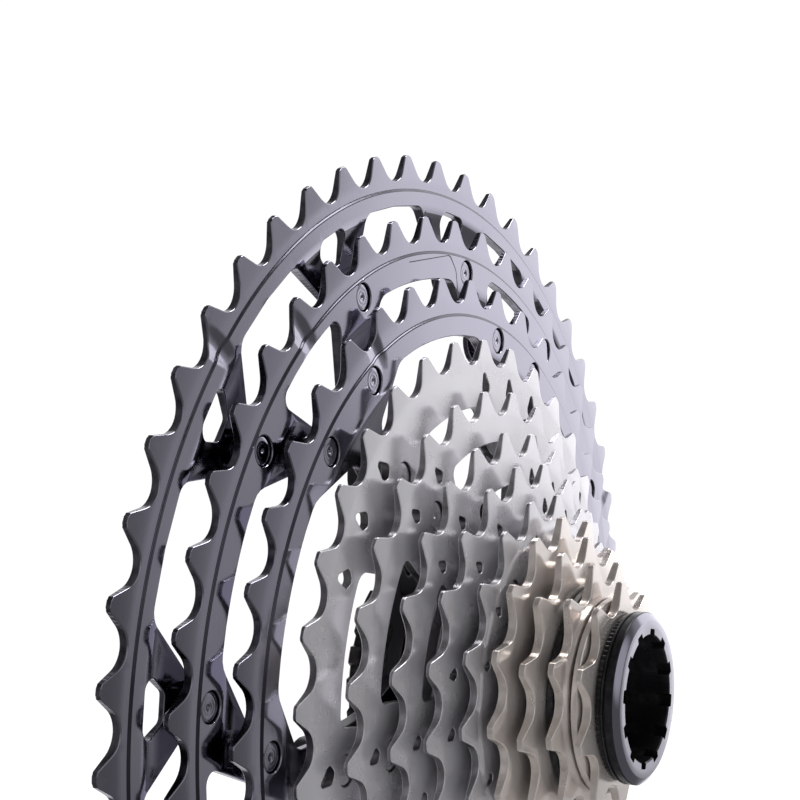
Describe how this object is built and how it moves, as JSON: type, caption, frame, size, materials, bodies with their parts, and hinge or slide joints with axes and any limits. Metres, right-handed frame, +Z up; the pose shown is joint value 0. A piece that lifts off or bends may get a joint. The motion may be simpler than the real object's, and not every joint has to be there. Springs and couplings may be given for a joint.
{
  "type": "bicycle cassette sprocket",
  "caption": "Stepped stack of toothed bicycle sprockets on a ribbed core, riveted to a spoked carrier and closed by a notched lockring.",
  "frame": {"origin": "centre of the core's inboard end, on the wheel axis", "axes": "+Y points inboard to the hub, -Y points outboard to the lockring, +Z up, +X across; one arm of the carrier lies 20 degrees above +X"},
  "size_m": [0.2083, 0.0518, 0.2084],
  "materials": {
    "alloy": "gloss black anodised",
    "titanium": "satin bare titanium",
    "steel": "nickel plated, warm tint",
    "carrier": "dark satin anodised",
    "black": "black anodised"
  },
  "bodies": {
    "core": {"core_body": "black"},
    "cluster": {"carrier": "carrier", "inboard_spacer": "black", "sprocket_51": "alloy", "sprocket_45": "alloy", "sprocket_39": "alloy", "sprocket_33": "titanium", "sprocket_28": "titanium", "sprocket_24": "titanium", "sprocket_21": "titanium", "sprocket_18": "titanium", "outer_rivet_01": "alloy", "outer_rivet_02": "alloy", "outer_rivet_03": "alloy", "outer_rivet_04": "alloy", "outer_rivet_05": "alloy", "outer_rivet_06": "alloy", "outer_rivet_07": "alloy", "outer_rivet_08": "alloy", "outer_rivet_09": "alloy", "outer_rivet_10": "alloy", "outer_rivet_11": "alloy", "outer_rivet_12": "alloy", "middle_rivet_01": "alloy", "middle_rivet_02": "alloy", "middle_rivet_03": "alloy", "middle_rivet_04": "alloy", "middle_rivet_05": "alloy", "middle_rivet_06": "alloy", "middle_rivet_07": "alloy", "middle_rivet_08": "alloy", "middle_rivet_09": "alloy", "middle_rivet_10": "alloy", "middle_rivet_11": "alloy", "middle_rivet_12": "alloy", "carrier_rivet_1": "titanium", "carrier_rivet_2": "titanium", "carrier_rivet_3": "titanium", "carrier_rivet_4": "titanium", "carrier_rivet_5": "titanium", "carrier_rivet_6": "titanium", "inner_rivet_1": "titanium", "inner_rivet_2": "titanium", "inner_rivet_3": "titanium", "inner_rivet_4": "titanium", "inner_rivet_5": "titanium", "inner_rivet_6": "titanium", "cluster_rivet_1": "titanium", "cluster_rivet_2": "titanium", "cluster_rivet_3": "titanium"},
    "sprocket_16": {"sprocket_16": "steel", "spacer_18_16": "black"},
    "sprocket_14": {"sprocket_14": "steel", "spacer_16_14": "black"},
    "sprocket_12": {"sprocket_12": "steel", "spacer_14_12": "black"},
    "sprocket_10": {"sprocket_10": "steel", "spacer_12_10": "steel"},
    "washer": {"lockring_washer": "black"},
    "lockring": {"lockring": "black"}
  },
  "joints": [
    {"name": "cluster_slide", "type": "slide", "parent": "core", "child": "cluster", "axis": [0, -1, 0], "range_m": [0, 0.046]},
    {"name": "sprocket_16_slide", "type": "slide", "parent": "cluster", "child": "sprocket_16", "axis": [0, -1, 0], "range_m": [0, 0.01]},
    {"name": "sprocket_14_slide", "type": "slide", "parent": "sprocket_16", "child": "sprocket_14", "axis": [0, -1, 0], "range_m": [0, 0.008]},
    {"name": "sprocket_12_slide", "type": "slide", "parent": "sprocket_14", "child": "sprocket_12", "axis": [0, -1, 0], "range_m": [0, 0.008]},
    {"name": "sprocket_10_slide", "type": "slide", "parent": "sprocket_12", "child": "sprocket_10", "axis": [0, -1, 0], "range_m": [0, 0.006]},
    {"name": "washer_slide", "type": "slide", "parent": "sprocket_10", "child": "washer", "axis": [0, -1, 0], "range_m": [0, 0.006]},
    {"name": "lockring_turn", "type": "hinge", "parent": "washer", "child": "lockring", "pos_m": [0, -0.05, 0], "axis": [0, -1, 0], "range_deg": [0, 2160]}
  ],
  "couplings": [
    {"joint": "washer_slide", "follows": "lockring_turn", "m_per_rad": 0.00015915}
  ]
}
